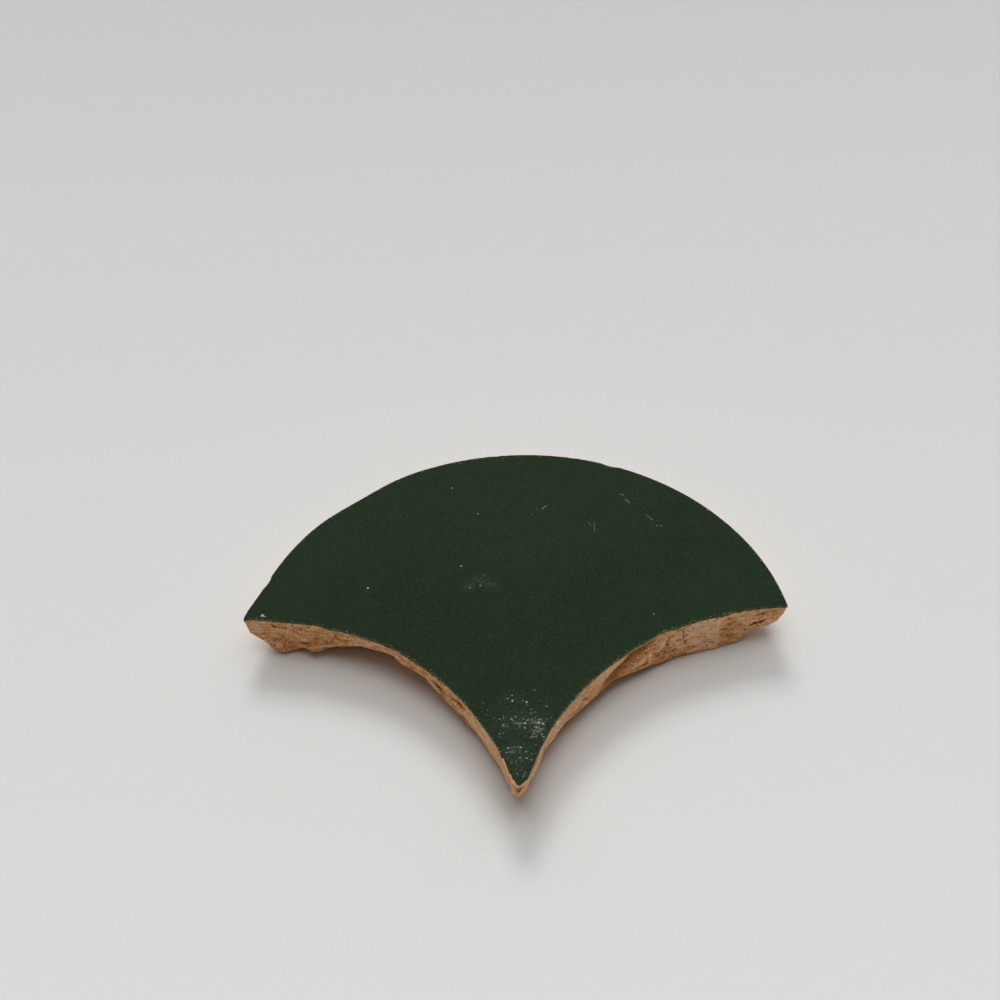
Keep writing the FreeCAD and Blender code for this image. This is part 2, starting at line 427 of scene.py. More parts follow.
def crossing(side_a, side_b, inset, near):
    """Point nearest to a corner where the inset arcs of two sides cross."""
    radius_a = side_a.radius - side_a.bulge * inset
    radius_b = side_b.radius - side_b.bulge * inset
    between = side_b.centre - side_a.centre
    span = np.linalg.norm(between)
    along = (span ** 2 + radius_a ** 2 - radius_b ** 2) / (2 * span)
    across = math.sqrt(radius_a ** 2 - along ** 2)
    foot = side_a.centre + between * (along / span)
    normal = np.array([-between[1], between[0]]) * (across / span)
    return min((foot + normal, foot - normal), key=lambda point: np.linalg.norm(point - near))


def inset_at(points):
    """How far points lie inside the tile's outline."""
    return np.min([side.inset_of(points) for side in sides], axis=0)


def outline_columns():
    """Outer point, inner point, side and place along it of every column, counter-clockwise."""
    outer, inner, names, along = [], [], [], []
    for index, side in enumerate(sides):
        place = np.arange(side.columns) / side.columns
        ring_start = crossing(sides[index - 1], side, column_inset, side.start)
        ring_end = crossing(side, sides[(index + 1) % len(sides)], column_inset, side.end)
        angles = side.first + (side.last - side.first) * place
        eased_angles = (angles + (side.angle(ring_start) - side.first) * (1 - place) ** 3
                        + (side.angle(ring_end) - side.last) * place ** 3)
        outer.append(side.at(angles, 0))
        inner.append(side.at(eased_angles, column_inset))
        names += [side.name] * side.columns
        along.append(side.length * (1 - place if side.name == "right" else place))
    return np.concatenate(outer), np.concatenate(inner), np.array(names), np.concatenate(along)


def gathered(entries, names, along, power):
    """Sum over (side, place, reach, amount) entries at each column, each fading out past its reach."""
    total = np.zeros(len(along))
    for side, place, reach, amount in entries:
        total = total + (names == side) * amount * np.exp(-np.abs((along - place) / reach) ** power)
    return total


# Flank

def cad_tree():
    """Search tree of the CAD solid, in millimetres."""
    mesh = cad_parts[NODE].data
    points = [vertex.co / MM for vertex in mesh.vertices]
    return BVHTree.FromPolygons(points, [list(face.vertices) for face in mesh.polygons])


def swept_column(tree, outer, inner):
    """Rows of one column, from the glaze's edge over the cut flank to the back."""
    pivot = Vector((*inner, thickness - skin))
    outward = Vector((*(outer - inner), 0)).normalized()
    hits = []
    for angle in np.linspace(0, math.pi / 2, sweep_steps):
        direction = outward * math.cos(angle) - Vector((0, 0, math.sin(angle)))
        hits.append(tree.ray_cast(pivot + direction * sweep_reach, -direction)[0])
    line = np.array(hits)
    line[0, 2] = thickness
    steps = np.linalg.norm(np.diff(line, axis=0), axis=1)
    steps = steps * np.where(line[1:, 2] > under_height, 1.0, under_share)
    run = np.concatenate([[0], np.cumsum(steps)])
    rows = np.linspace(0, run[-1], flank_rows)
    return np.stack([np.interp(rows, run, line[:, axis]) for axis in range(3)], axis=-1)


def grid_normals(grid):
    """Outward unit normals of the closed grid of columns and rows."""
    around = np.roll(grid, -1, axis=0) - np.roll(grid, 1, axis=0)
    down = np.gradient(grid, axis=1)
    normals = np.cross(down, around)
    return normals / np.maximum(np.linalg.norm(normals, axis=-1, keepdims=True), 1e-9)


def groove_cut(along, depth, line):
    """Depth of a groove that tapers along its line of places."""
    cut = np.zeros(depth.shape)
    for start, end in zip(line, line[1:]):
        run_along, run_depth = end[0] - start[0], end[1] - start[1]
        from_along, from_depth = along - start[0], depth - start[1]
        share = (from_along * run_along + from_depth * run_depth) / (run_along ** 2 + run_depth ** 2)
        share = np.clip(share, 0, 1)
        away = np.hypot(from_along - share * run_along, from_depth - share * run_depth)
        reach = start[2] + share * (end[2] - start[2])
        piece = (start[3] + share * (end[3] - start[3])) * (1 - eased(0.5, 1, away / reach))
        cut = np.where(np.abs(piece) > np.abs(cut), piece, cut)
    return cut


def from_line(along, depth, line):
    """Distance of places along a straight line from its start, and across it towards the second axis."""
    (start_along, start_depth), (end_along, end_depth) = line
    run = np.array([end_along - start_along, end_depth - start_depth])
    run = run / np.linalg.norm(run)
    from_along, from_depth = along - start_along, depth - start_depth
    return from_along * run[0] + from_depth * run[1], from_depth * run[0] - from_along * run[1]


def fresh_break(along, depth):
    """How smooth and how brown the hollow in the right bay is, from 0 to 1; its brown is partly the fresh
    break's own colour and partly painted shade under the glaze.
    """
    forward, beyond = from_line(along, depth, break_edge)
    length = math.dist(*break_edge)
    ends = eased(-break_lead, -break_lead / 2, forward) * (1 - eased(length, length + break_trail, forward))
    smooth = ends * (1 - eased(*break_reach, np.abs(beyond)))
    paling = 1 - 0.5 * np.clip(forward / length, 0, 1)
    return smooth, smooth * paling * eased(0, 0.35, beyond) * eased(0.9, 1.5, depth)


def clay_grain(grid, along, depth, apart, wander):
    """Grain of the broken clay, each kind as a value about 0, and from 0 to 1 in the pits."""
    bedded = np.stack([along / 2.2 + 0.5 * wander[0], depth + 0.4 * wander[1], apart], axis=-1)
    streaked = np.stack([along / 8, depth, apart], axis=-1)
    pit_distance, pit_lot = cells_at(grid, 1.25, 3.0)
    return {
        "middle": noise_at(grid, 1.8, 11.0),
        "fine": noise_at(grid, 0.55, 23.0),
        "beds": 0.6 * noise_at(streaked, 0.9, 5.0) + 0.6 * noise_at(streaked, 0.4, 15.0),
        "flakes": cells_at(bedded, 1.9)[1],
        "crumbs": cells_at(bedded, 0.75, 9.0)[1],
        "pits": (pit_lot < -0.2) * (1 - eased(0.08, 0.36, pit_distance)),
    }


def drawn_details(names, along, depth, wander):
    """Depth of the grooves, height of the lumps, and the shift of tone of grooves and patches, which is
    painted shade in the grooves and partly a painted highlight on the ridges.
    """
    grooved = np.zeros(depth.shape)
    lumpy = np.zeros(depth.shape)
    tone = np.zeros(depth.shape)
    for bay, line in grooves:
        here = (names == bay)[:, None]
        cut = here * groove_cut(along + 0.2 * wander[0], depth + 0.15 * wander[1], line)
        grooved = grooved + cut
        # Painted shade in the grooves; on the ridges, dust and a painted highlight
        tone = tone - np.where(cut > 0, groove_shade * eased(0, 1.0, cut), ridge_dust_and_highlight * cut)
    for bay, at_along, at_depth, reach, height in lumps:
        here = (names == bay)[:, None]
        away = np.hypot(along - at_along, depth - at_depth) / reach
        lumpy = lumpy + here * height * np.exp(-away ** 2)
    for bay, at_along, at_depth, reach_along, reach_depth, shift in patches:
        here = (names == bay)[:, None]
        away = np.hypot((along + 0.5 * wander[0] - at_along) / reach_along,
                        (depth + 0.5 * wander[1] - at_depth) / reach_depth)
        tone = tone + here * shift * np.exp(-away ** 4)
    return grooved, lumpy, tone


def flank_relief(grid, names, along, from_ends):
    """Relief of the broken clay in millimetres, its tone from brown (0) to dusty (1), and its speckle; the
    tone holds painted shade in the grooves and the hollow of the right bay, and a partly painted highlight on
    the ridges.
    """
    depth = thickness - grid[..., 2]
    along = np.broadcast_to(along[:, None], depth.shape)
    apart = np.broadcast_to((names == "left")[:, None] * 50.0, depth.shape)
    wander = np.stack([noise_at(grid, 1.6, shift) for shift in (31.0, 37.0)])
    broad = noise_at(grid, 6.0)
    grain = clay_grain(grid, along, depth, apart, wander)
    grooved, lumpy, drawn_tone = drawn_details(names, along, depth, wander)

    right = (names == "right")[:, None]
    smooth, brown_and_shade = fresh_break(along, depth)
    _, to_corner = from_line(along + 0.12 * wander[0], depth, facet_line)
    from_facet = np.abs(to_corner)
    proud = right * eased(-facet_edge, facet_edge, -to_corner)
    streaks = (right - proud) * np.exp(-(from_facet / streak_reach) ** 2) * grain["beds"]

    coarse = broad_relief * broad + facet_height * proud * np.exp(-from_facet / facet_reach)
    rough = sum(height * grain[kind] for kind, height in grain_relief.items())
    rough = rough * (1 - break_calm * right * smooth) - grooved + streak_relief * streaks

    speckle = 1 - break_plain * right * smooth
    speckle = speckle + facet_speckle * proud * np.exp(-(from_facet / facet_speckle_reach) ** 4)
    tone = plain_tone + broad_tone * broad + drawn_tone
    tone = tone + sum(shift * grain[kind] for kind, shift in grain_tone.items()) * speckle
    tone = tone + facet_dust * proud * np.exp(-(from_facet / facet_dust_reach) ** 4)
    # The hollow's brown is partly its own colour and partly painted shade under the glaze
    tone = tone + streak_tone * streaks - break_brown_and_shade * right * brown_and_shade

    settled = eased(0.2, 1.0, depth) * (np.arange(flank_rows) < flank_rows - 1)
    return ((coarse + rough) * from_ends[:, None] + lumpy) * settled, tone, speckle


def edge_nibbles(edge, names, along):
    """How far the edge of the glaze is chipped back at each column."""
    nibble = 0.05 + 0.10 * np.maximum(noise_at(edge, 0.8), 0) + 0.05 * noise_at(edge, 0.35, 9.0)
    nibble = nibble + 0.35 * np.maximum(noise_at(edge, 3.0, 17.0) - 0.45, 0)
    return nibble + gathered(edge_chips, names, along, 4)


class Flank:
    """The cut flank as a closed grid of columns and rows, from the glaze's edge to the back."""

    def __init__(self, tree):
        outer, inner, self.names, self.along = outline_columns()
        self.columns = len(outer)
        self.inward = (inner - outer) / np.linalg.norm(inner - outer, axis=1, keepdims=True)
        from_tip = np.linalg.norm(outer - tip, axis=1)
        corners = (left_corner, right_corner)
        from_corner = np.min([np.linalg.norm(outer - corner, axis=1) for corner in corners], axis=0)
        from_ends = ((tip_grain + (1 - tip_grain) * eased(*tip_calm, from_tip))
                     * (corner_grain + (1 - corner_grain) * eased(*corner_calm, from_corner)))

        grid = np.array([swept_column(tree, *pair) for pair in zip(outer, inner)])
        relief, self.tone, self.speckle = flank_relief(grid, self.names, self.along, from_ends)
        grid = grid + grid_normals(grid) * relief[..., None]
        self.depth = thickness - grid[..., 2]

        edge = np.column_stack([outer, np.zeros(self.columns)])
        self.jitter = noise_at(edge, 0.7, 13.0)
        nibble = edge_nibbles(edge, self.names, self.along)[:, None]
        stray = gathered(strays, self.names, self.along, 2)[:, None]
        below = np.maximum(self.depth, 0)
        inset = nibble * np.exp(-below / (0.25 + 0.8 * nibble)) - stray * np.exp(-(below / stray_depth) ** 2)
        grid[..., :2] += self.inward[:, None, :] * inset[..., None]

        from_notch = np.linalg.norm((grid[..., :2] - notch) / notch_reach, axis=-1)
        pit = np.exp(-from_notch ** 4) * (self.depth < notch_floor)
        grid[..., 2] = np.maximum(grid[..., 2] - notch_depth * pit, 0)
        nose = eased(glaze_end, glaze_end - nose_fade, grid[..., 1])
        # Painted shadow of the glaze's overhang: a darker brown line just under the glaze
        under_glaze_shade = (1 - eased(*overhang_shade_depth, self.depth)) * (1 - nose)
        self.tone = self.tone - overhang_shade * under_glaze_shade - notch_brown * pit
        self.bare = nose * (1 - eased(*bare_depth, self.depth)) * (1 - pit)
        self.grid = grid


# Glazed face and back

def grid_points(spacing, least_inset):
    """Points of a triangular grid that lie at least an inset inside the outline."""
    rows = np.arange(-tail_drop, head_rise, spacing * math.sqrt(3) / 2)
    columns = np.arange(-half_width, half_width, spacing)
    points = np.array([(x + spacing / 2 * (row % 2), y) for row, y in enumerate(rows) for x in columns])
    return points[inset_at(points) > least_inset]


def clear_of(points, others, distance):
    """Those of the points that keep a distance from others."""
    tree = kdtree.KDTree(len(others))
    for index, other in enumerate(others):
        tree.insert((*other[:2], 0), index)
    tree.balance()
    return np.array([point for point in points if tree.find((*point, 0))[2] > distance])


def scuffing(points):
    """How dense the scuffs are at points of the glazed face, from 0 to 1."""
    density = np.zeros(len(points))
    for place, reach, dense in scuffs:
        away = np.linalg.norm((points[:, :2] - np.array(place)) / np.array(reach), axis=1)
        density = np.maximum(density, dense * np.exp(-(away / 1.2) ** 2))
    return density


def scratch_marks():
    """Small marks in rows along the scratches."""
    rows = []
    for start, end, white in scratches:
        run = np.subtract(end, start)
        count = math.ceil(np.linalg.norm(run) / scratch_step)
        direction = math.degrees(math.atan2(run[1], run[0]))
        for share in (np.arange(count) + 0.5) / count:
            rows.append((start + run * share, scratch_radius, scratch_stretch, direction, white))
    return rows


def mark_points():
    """Points that give every chip, bright scuff and scratch its ragged outline, and the whiteness of each."""
    points, whiteness = [], []
    for index, (place, radius, stretch, direction, white) in enumerate(marks + scratch_marks()):
        turn = math.radians(direction)
        run = np.array([math.cos(turn), math.sin(turn)])
        side = np.array([-run[1], run[0]])
        for share, value in ((0.0, white), (mark_core, white), (1.0, 0.0)):
            for corner in range(mark_corners if share else 1):
                angle = 2 * math.pi * (corner + share) / mark_corners
                ragged = 1 + mark_raggedness * noise.noise((index * 3.1, corner * 1.7, 0))
                turned = run * math.cos(angle) * stretch + side * math.sin(angle)
                points.append(np.array(place) + radius * share * ragged * turned)
                whiteness.append(value)
    return np.array(points), np.array(whiteness)


def face_points(inner_ring, marked):
    """Points of the glazed face inside its rim, closer together where it is scuffed."""
    fine = grid_points(scuff_spacing, rim_steps[-1] + scuff_margin)
    fine = fine[scuffing(fine) > least_scuff]
    coarse = grid_points(face_spacing, rim_steps[-1] + face_margin)
    coarse = clear_of(coarse, fine, scuff_room)
    return clear_of(clear_of(np.concatenate([coarse, fine]), inner_ring, ring_room), marked, mark_room)


def face_wave(points):
    """Gentle unevenness of the glazed face in millimetres."""
    flat = np.concatenate([points[..., :2], np.zeros(points.shape[:-1] + (1,))], axis=-1)
    return 0.10 * noise_at(flat, 34.0) + 0.03 * noise_at(flat, 11.0, 3.0) + 0.008 * noise_at(flat, 3.5, 7.0)


def back_points(tree):
    """Points of the rough back inside the flank's last row."""
    places = grid_points(back_spacing, column_inset + back_margin)
    heights = []
    for x, y in places:
        hit = tree.ray_cast(Vector((x, y, -thickness)), Vector((0, 0, 1)))[0]
        heights.append(hit.z)
    points = np.column_stack([places, heights])
    points[:, 2] += back_lumps * np.maximum(noise_at(points, 6.0) + 0.3 * noise_at(points, 2.2), 0)
    return points


def filled(ring, ring_ids, inside, first_id):
    """Triangles between a closed ring and the points inside it, as ids of vertices."""
    count = len(ring)
    coordinates = [Vector(point[:2]) for point in np.concatenate([ring[:, :2], inside[:, :2]])]
    edges = [(index, (index + 1) % count) for index in range(count)]
    _, _, faces, originals, _, _ = delaunay_2d_cdt(coordinates, edges, [], 1, 1e-6)
    ids = np.concatenate([ring_ids, first_id + np.arange(len(inside))])
    return [[int(ids[originals[corner][0]]) for corner in face] for face in faces]


def hand_cut(points):
    """Points moved as the cutter's hand strayed at the left corner and the tip."""
    moved = points.copy()
    away = np.linalg.norm(points[:, :2] - left_corner, axis=1) / corner_reach
    moved[:, :2] += corner_overrun * np.exp(-away ** 2)[:, None]
    places, shares = zip(*nose_shape)
    pinched = eased(*pinch_depth, thickness - points[:, 2]) * eased(*pinch_run, points[:, 1])
    moved[:, 0] *= np.interp(points[:, 1], places, shares) * (1 - nose_pinch * pinched)
    moved[:, 0] += tip_sway * eased(places[-1], places[0], points[:, 1]) + pinch_sway * pinched
    return moved


def unbroken(points):
    """Whether the glaze is still there at points, by the lines where it broke off at the nose."""
    whole = np.full(len(points), True)
    for line in glaze_breaks:
        _, beyond = from_line(points[:, 0], points[:, 1], line)
        line_top = max(place[1] for place in line)
        whole = whole & ((beyond > 0) | (points[:, 1] > line_top))
    return whole


def flank_faces(flank, ids):
    """Quads of the flank, and whether the glaze covers each."""
    faces, glazed = [], []
    following = np.roll(np.arange(flank.columns), -1)
    end = glaze_end + end_jitter * flank.jitter
    for row in range(flank_rows - 1):
        quads = np.stack([ids[:, row], ids[:, row + 1], ids[following, row + 1], ids[following, row]], axis=1)
        faces += quads.tolist()
        middle = (flank.depth[:, row] + flank.depth[:, row + 1]) / 2
        in_depth = middle < glaze_depth * (1 + depth_jitter * flank.jitter)
        in_glaze = in_depth & (flank.grid[:, row + 1, 1] > end)
        glazed += (in_glaze & unbroken(flank.grid[:, row])).tolist()
    return faces, glazed


def rim_faces(vertices, levels):
    """Quads of the rings inside the edge of the face, and whether the glaze covers each."""
    faces, glazed = [], []
    for lower, upper in zip(levels, levels[1:]):
        faces += np.stack([lower, np.roll(lower, -1), np.roll(upper, -1), upper], axis=1).tolist()
        glazed += unbroken((vertices[lower] + vertices[upper]) / 2).tolist()
    return faces, glazed


def vertex_values(flank, vertices, ring_ids, on_face, whiteness):
    """Values at the vertices that the materials read."""
    on_flank = slice(0, flank.tone.size)
    values = {name: np.zeros(len(vertices)) for name in ("tone", "speckle", "bare", "rim", "scuff", "white")}
    values["tone"][:] = plain_tone
    values["tone"][on_flank] = flank.tone.ravel()
    values["speckle"][:] = 1
    values["speckle"][on_flank] = flank.speckle.ravel()
    values["bare"][on_face] = 1
    values["bare"][on_flank] = flank.bare.ravel()
    values["rim"][on_flank] = 1
    for ring, step in zip(ring_ids, rim_steps):
        values["rim"][ring] = 1 - eased(*rim_fade, step)
    values["scuff"][on_face] = scuffing(vertices[on_face])
    values["white"][on_face[-len(whiteness):]] = whiteness
    return values


def build_tile():
    """The whole tile as one closed mesh, with the values that its materials read."""
    tree = cad_tree()
    flank = Flank(tree)
    columns, grid = flank.columns, flank.grid
    rings = [grid[:, 0] + np.column_stack([flank.inward * step, np.zeros(columns)]) for step in rim_steps]
    marked, whiteness = mark_points()
    face = np.concatenate([face_points(rings[-1], marked), marked])
    face = np.column_stack([face, np.full(len(face), thickness)])
    back = back_points(tree)

    ids = np.arange(columns * flank_rows).reshape(columns, flank_rows)
    ring_ids = ids.size + np.arange(columns * len(rings)).reshape(len(rings), columns)
    face_start = ids.size + ring_ids.size
    back_start = face_start + len(face)
    vertices = np.concatenate([grid.reshape(-1, 3), *rings, face, back])
    values = vertex_values(flank, vertices, ring_ids, np.arange(ids.size, back_start), whiteness)
    swell = face_wave(vertices) * eased(0.3, 1, vertices[:, 2] / thickness)
    vertices[:, 2] += swell - mark_depth * values["white"]

    sides_of_flank, flank_glazed = flank_faces(flank, ids)
    rim, rim_glazed = rim_faces(vertices, [ids[:, 0], *ring_ids])
    top = filled(rings[-1], ring_ids[-1], face, face_start)
    under = [triangle[::-1] for triangle in filled(grid[:, -1], ids[:, -1], back, back_start)]
    glazed = flank_glazed + rim_glazed + [True] * len(top) + [False] * len(under)

    mesh = bpy.data.meshes.new("glazed_tile")
    mesh.from_pydata((hand_cut(vertices) * MM).tolist(), [], sides_of_flank + rim + top + under)
    mesh.polygons.foreach_set("material_index", [0 if is_glaze else 1 for is_glaze in glazed])
    mesh.polygons.foreach_set("use_smooth", [True] * len(glazed))
    for name, numbers in values.items():
        attribute = mesh.attributes.new(name, "FLOAT", "POINT")
        attribute.data.foreach_set("value", numbers.astype(np.float32))
    mesh.update()
    mesh.set_sharp_from_angle(angle=math.radians(50))
    tile = bpy.data.objects.new("glazed_tile", mesh)
    bpy.context.scene.collection.objects.link(tile)
    return tile


# Materials

class Nodes:
    """A node tree, and short ways to add nodes to it."""

    def __init__(self, tree):
        self.tree = tree

    def node(self, kind, inputs=None, **settings):
        """A new node with its settings and inputs, which are numbers or other nodes' outputs."""
        made = self.tree.nodes.new(kind)
        for name, value in settings.items():
            setattr(made, name, value)
        for name, value in (inputs or {}).items():
            self.feed(made.inputs[name], value)
        return made

    def feed(self, socket, value):
        """Sets an input, or links it to another node's output."""
        if isinstance(value, bpy.types.NodeSocket):
            self.tree.links.new(value, socket)
        else:
            socket.default_value = value

    def math(self, operation, first, second=0.0):
        """Sum, product or other operation on two values."""
        return self.node("ShaderNodeMath", {0: first, 1: second}, operation=operation).outputs[0]


class Shader(Nodes):
    """A material with one principled shader, and short ways to make its patterns."""

    def __init__(self, name):
        self.material = bpy.data.materials.new(name)
        self.material.use_nodes = True
        super().__init__(self.material.node_tree)
        self.surface = self.tree.nodes["Principled BSDF"]
        self.place = self.node("ShaderNodeTexCoord").outputs["Object"]

    def value(self, name):
        """A value kept at the mesh's vertices."""
        return self.node("ShaderNodeAttribute", attribute_name=name).outputs["Fac"]

    def stretched(self, stretch):
        """Place on the object, multiplied along each axis."""
        inputs = {0: self.place, 1: stretch}
        return self.node("ShaderNodeVectorMath", inputs, operation="MULTIPLY").outputs[0]

    def noise(self, size, detail=3.0, stretch=(1, 1, 1)):
        """Noise from 0 to 1 with features of a size in millimetres."""
        inputs = {"Vector": self.stretched(stretch), "Scale": 1 / (size * MM), "Detail": detail}
        return self.node("ShaderNodeTexNoise", inputs).outputs[0]

    def spots(self, size, reach, share, stretch=(1, 1, 1)):
        """Round spots from 0 to 1 in a share of random cells of a size, with a reach in cells."""
        inputs = {"Vector": self.stretched(stretch), "Scale": 1 / (size * MM)}
        cells = self.node("ShaderNodeTexVoronoi", inputs)
        lot = self.node("ShaderNodeSeparateColor", {0: cells.outputs["Color"]})
        chosen = self.math("LESS_THAN", lot.outputs[0], share)
        span = self.ranged(lot.outputs[1], 0, 1, 0.5 * reach, reach)
        inside = self.math("SUBTRACT", 1.0, self.math("DIVIDE", cells.outputs["Distance"], span))
        return self.math("MULTIPLY", chosen, self.ranged(inside, 0, 0.5))

    def ranged(self, value, low, high, to_low=0.0, to_high=1.0):
        """A value moved from one range to another, and held there."""
        return self.node("ShaderNodeMapRange", {0: value, 1: low, 2: high, 3: to_low, 4: to_high}).outputs[0]

    def mixed(self, share, first, second):
        """Colour between two others."""
        made = self.node("ShaderNodeMix", {0: share, 6: first, 7: second}, data_type="RGBA")
        return made.outputs[2]

    def ramp(self, value, stops):
        """Colour read from a list of (place, colour)."""
        made = self.node("ShaderNodeValToRGB", {0: value})
        elements = made.color_ramp.elements
        while len(elements) < len(stops):
            elements.new(1.0)
        for element, (place, colour) in zip(elements, stops):
            element.position = place
            element.color = colour
        return made.outputs[0]

    def bump(self, height, depth):
        """Normal of a fine relief with a depth in millimetres."""
        made = self.node("ShaderNodeBump", {"Height": height, "Distance": depth * MM, "Strength": 1.0})
        return made.outputs[0]


def glaze_material():
    """Deep green satin glaze, olive where it thins at the edge, with bright flecks on the chipped rim that
    are partly painted glints, and with white scuffs.
    """
    deep_green = (0.0036, 0.0120, 0.0028, 1)
    thin_green = (0.0056, 0.0170, 0.0042, 1)
    grain_green = (0.0170, 0.0310, 0.0135, 1)
    speck_green = (0.08, 0.12, 0.07, 1)
    rim_olive = (0.130, 0.112, 0.030, 1)
    # Bright flecks on the chipped rim: partly thin glaze, partly painted glints where the rim catches light
    flake_and_glint_green = (0.140, 0.180, 0.065, 1)
    scuff_white = (0.46, 0.46, 0.43, 1)

    glaze = Shader("green_glaze")
    grain = glaze.noise(0.32, 2)
    thinned = glaze.ranged(glaze.noise(26, 3), 0.3, 0.7)
    colour = glaze.mixed(thinned, deep_green, thin_green)
    colour = glaze.mixed(glaze.ranged(grain, 0.4, 0.75), colour, grain_green)
    specks = glaze.math("MAXIMUM", glaze.spots(2.4, 0.08, 0.35), glaze.spots(1.1, 0.14, 0.2))
    colour = glaze.mixed(glaze.math("MULTIPLY", specks, 0.4), colour, speck_green)

    rim = glaze.value("rim")
    patchy = glaze.ranged(glaze.noise(0.6, 3), 0.42, 0.58)
    olive = glaze.math("MULTIPLY", glaze.ranged(rim, 0.7, 1.0), patchy)
    colour = glaze.mixed(glaze.math("MULTIPLY", olive, 0.85), colour, rim_olive)
    # Painted glints along the chipped rim, mixed with flecks of thin glaze
    flakes_and_glints = glaze.spots(0.5, 0.55, glaze.math("MULTIPLY", rim, 0.75))
    colour = glaze.mixed(glaze.math("MULTIPLY", flakes_and_glints, 0.8), colour, flake_and_glint_green)

    density = glaze.value("scuff")
    dashes = glaze.spots(0.5, 0.5, glaze.math("MULTIPLY", density, 0.7), (0.6, 1, 1))
    dots = glaze.spots(0.3, 0.5, glaze.math("MULTIPLY", density, 0.8))
    haze = glaze.math("MULTIPLY", density, glaze.ranged(glaze.noise(0.5, 4), 0.4, 0.75, 0, 0.2))
    scuff = glaze.math("MAXIMUM", glaze.math("MULTIPLY", dashes, 0.9), glaze.math("MULTIPLY", dots, 0.6))
    scuff = glaze.math("MULTIPLY", scuff, glaze.ranged(density, 0.1, 0.8, 0.34, 0.8))
    scuff = glaze.math("MAXIMUM", glaze.math("MAXIMUM", scuff, haze), glaze.value("white"))
    colour = glaze.mixed(scuff, colour, scuff_white)

    glaze.feed(glaze.surface.inputs["Base Color"], colour)
    satin = glaze.ranged(grain, 0.3, 0.7, 0.34, 0.46)
    roughness = glaze.math("ADD", satin, glaze.math("MULTIPLY", scuff, 0.4))
    glaze.feed(glaze.surface.inputs["Roughness"], roughness)
    glaze.surface.inputs["Specular IOR Level"].default_value = 0.15
    skin_relief = glaze.math("ADD", glaze.math("MULTIPLY", glaze.noise(2.6, 2), 0.7),
                             glaze.math("MULTIPLY", grain, 0.3))
    glaze.feed(glaze.surface.inputs["Normal"], glaze.bump(skin_relief, 0.05))
    return glaze.material


def clay_material():
    """Fired clay, brown in its hollows and dusty on what stands proud, with pits; the brown of the grooves
    and of the hollow is partly painted shade, as is the darker tan of the bare nose.
    """
    tones = [
        (0.02, (0.15, 0.049, 0.010, 1)),
        (0.28, (0.55, 0.226, 0.064, 1)),
        (0.55, (0.79, 0.415, 0.194, 1)),
        (0.90, (0.96, 0.610, 0.370, 1)),
    ]
    # Tan of the bare clay at the nose, darkened by painted shade so that its top-facing faces render no
    # lighter than the flank
    shaded_bare_tan = (0.38, 0.215, 0.125, 1)
    flat = (0.5, 0.5, 1)

    clay = Shader("fired_clay")
    medium = clay.noise(1.0, 4, flat)
    streaks = clay.noise(0.35, 3, flat)
    fine = clay.noise(0.4, 4)
    pit = clay.math("MAXIMUM", clay.spots(0.8, 0.36, 0.3, (0.6, 0.6, 1)), clay.spots(0.42, 0.34, 0.22))

    speckle = clay.value("speckle")
    varied = clay.ranged(medium, 0.35, 0.65, -0.18, 0.18)
    varied = clay.math("ADD", varied, clay.ranged(streaks, 0.35, 0.65, -0.12, 0.12))
    varied = clay.math("ADD", varied, clay.ranged(fine, 0.35, 0.65, -0.20, 0.20))
    varied = clay.math("SUBTRACT", varied, clay.math("MULTIPLY", pit, 0.24))
    tone = clay.math("ADD", clay.value("tone"), clay.math("MULTIPLY", varied, speckle))
    colour = clay.ramp(tone, tones)
    # Bare clay at the nose takes the tan darkened by painted shade
    colour = clay.mixed(clay.math("MULTIPLY", clay.value("bare"), 0.9), colour, shaded_bare_tan)
    clay.feed(clay.surface.inputs["Base Color"], colour)
    clay.surface.inputs["Roughness"].default_value = 0.92
    clay.surface.inputs["Specular IOR Level"].default_value = 0.15
    relief = clay.math("MULTIPLY", clay.math("SUBTRACT", fine, pit), speckle)
    clay.feed(clay.surface.inputs["Normal"], clay.bump(relief, 0.10))
    return clay.material


# Stage

def make_floor():
    """Plain pale floor, with painted shade that darkens it towards the back."""
    size = 3.0
    drop = -0.02 * MM
    near_white = (0.70, 0.70, 0.685, 1)
    # Painted shade: the far floor gets a darker colour, as if the light fell off towards the back
    far_shaded_white = (0.54, 0.545, 0.54, 1)
    fade_start, fade_end = -0.10, 0.40
    mesh = bpy.data.meshes.new("floor")
    corners = [(-size, -size, drop), (size, -size, drop), (size, size, drop), (-size, size, drop)]
    mesh.from_pydata(corners, [], [(0, 1, 2, 3)])
    floor = bpy.data.objects.new("floor", mesh)
    bpy.context.scene.collection.objects.link(floor)
    paper = Shader("pale_floor")
    depth = paper.node("ShaderNodeSeparateXYZ", {0: paper.place}).outputs[1]
    shade = paper.ranged(depth, fade_start, fade_end)
    paper.feed(paper.surface.inputs["Base Color"], paper.mixed(shade, near_white, far_shaded_white))
    paper.surface.inputs["Roughness"].default_value = 0.9
    paper.surface.inputs["Specular IOR Level"].default_value = 0.1
    mesh.materials.append(paper.material)


def make_lamp(name, azimuth, elevation, spread, strength):
    """Soft distant lamp, in degrees from the back towards the right and above the floor."""
    turn, rise = math.radians(azimuth), math.radians(elevation)
    towards = Vector((math.sin(turn) * math.cos(rise), math.cos(turn) * math.cos(rise), math.sin(rise)))
    data = bpy.data.lights.new(name, "SUN")
    data.angle = math.radians(spread)
    data.energy = strength
    lamp = bpy.data.objects.new(name, data)
    lamp.visible_glossy = False
    lamp.rotation_mode = "QUATERNION"
    lamp.rotation_quaternion = towards.to_track_quat("Z", "Y")
    bpy.context.scene.collection.objects.link(lamp)


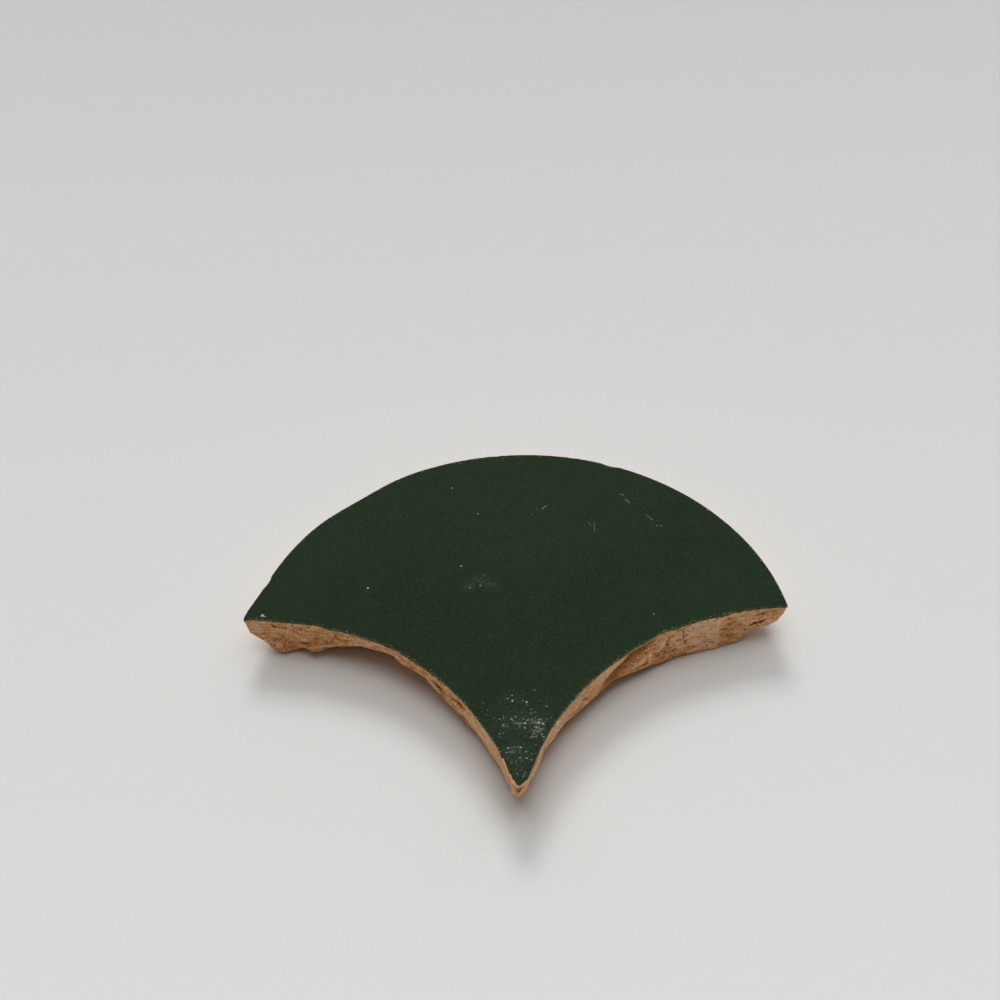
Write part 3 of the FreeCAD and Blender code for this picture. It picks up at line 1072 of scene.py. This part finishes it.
def make_world():
    """Even light that fades from overhead to the horizon, and a plain pale background."""
    overhead, crowding = 0.43, 3.0
    pale = 0.60
    world = bpy.data.worlds.new("studio")
    world.use_nodes = True
    sky = Nodes(world.node_tree)
    direction = sky.node("ShaderNodeTexCoord").outputs["Generated"]
    height = sky.node("ShaderNodeSeparateXYZ", {0: direction}).outputs[2]
    rise = sky.node("ShaderNodeMath", {0: height, 1: crowding}, operation="POWER", use_clamp=True).outputs[0]
    light = sky.math("MULTIPLY", rise, overhead)

    path = sky.node("ShaderNodeLightPath")
    seen = path.outputs["Is Camera Ray"]
    for ray in ("Is Glossy Ray", "Is Transmission Ray"):
        seen = sky.math("MAXIMUM", seen, path.outputs[ray])
    strength = sky.node("ShaderNodeMix", {0: seen, 2: light, 3: pale}).outputs[0]
    background = sky.tree.nodes["Background"]
    background.inputs["Color"].default_value = (1, 1, 1, 1)
    sky.feed(background.inputs["Strength"], strength)
    bpy.context.scene.world = world


def make_light():
    """Soft lamps behind and overhead, under a dim sky."""
    make_world()
    make_lamp("behind", azimuth=-5, elevation=43, spread=22, strength=1.3)
    make_lamp("behind_wide", azimuth=8, elevation=50, spread=90, strength=1.28)
    make_lamp("overhead", azimuth=180, elevation=84, spread=34, strength=0.78)


def make_camera():
    """Camera at the photograph's place, direction and angle of view."""
    place = Vector((5.47, -228.24, 276.74)) * MM
    azimuth, elevation, roll = (math.radians(angle) for angle in (2.021, 45.081, -3.038))
    forward = Vector((-math.sin(azimuth) * math.cos(elevation), math.cos(azimuth) * math.cos(elevation),
                      -math.sin(elevation)))
    level = Vector((math.cos(azimuth), math.sin(azimuth), 0))
    upright = level.cross(forward)
    right = level * math.cos(roll) + upright * math.sin(roll)
    up = upright * math.cos(roll) - level * math.sin(roll)
    data = bpy.data.cameras.new("camera")
    data.sensor_width = 36.0
    data.lens = 56.366
    data.clip_start = 0.01
    camera = bpy.data.objects.new("camera", data)
    turn = Matrix((right, up, -forward)).transposed()
    camera.matrix_world = Matrix.Translation(place) @ turn.to_4x4()
    bpy.context.scene.collection.objects.link(camera)
    bpy.context.scene.camera = camera


tile = build_tile()
tile.data.materials.append(glaze_material())
tile.data.materials.append(clay_material())
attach(tile, "root")
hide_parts(NODE)

make_floor()
make_light()
make_camera()
bpy.context.scene.view_settings.view_transform = "Standard"
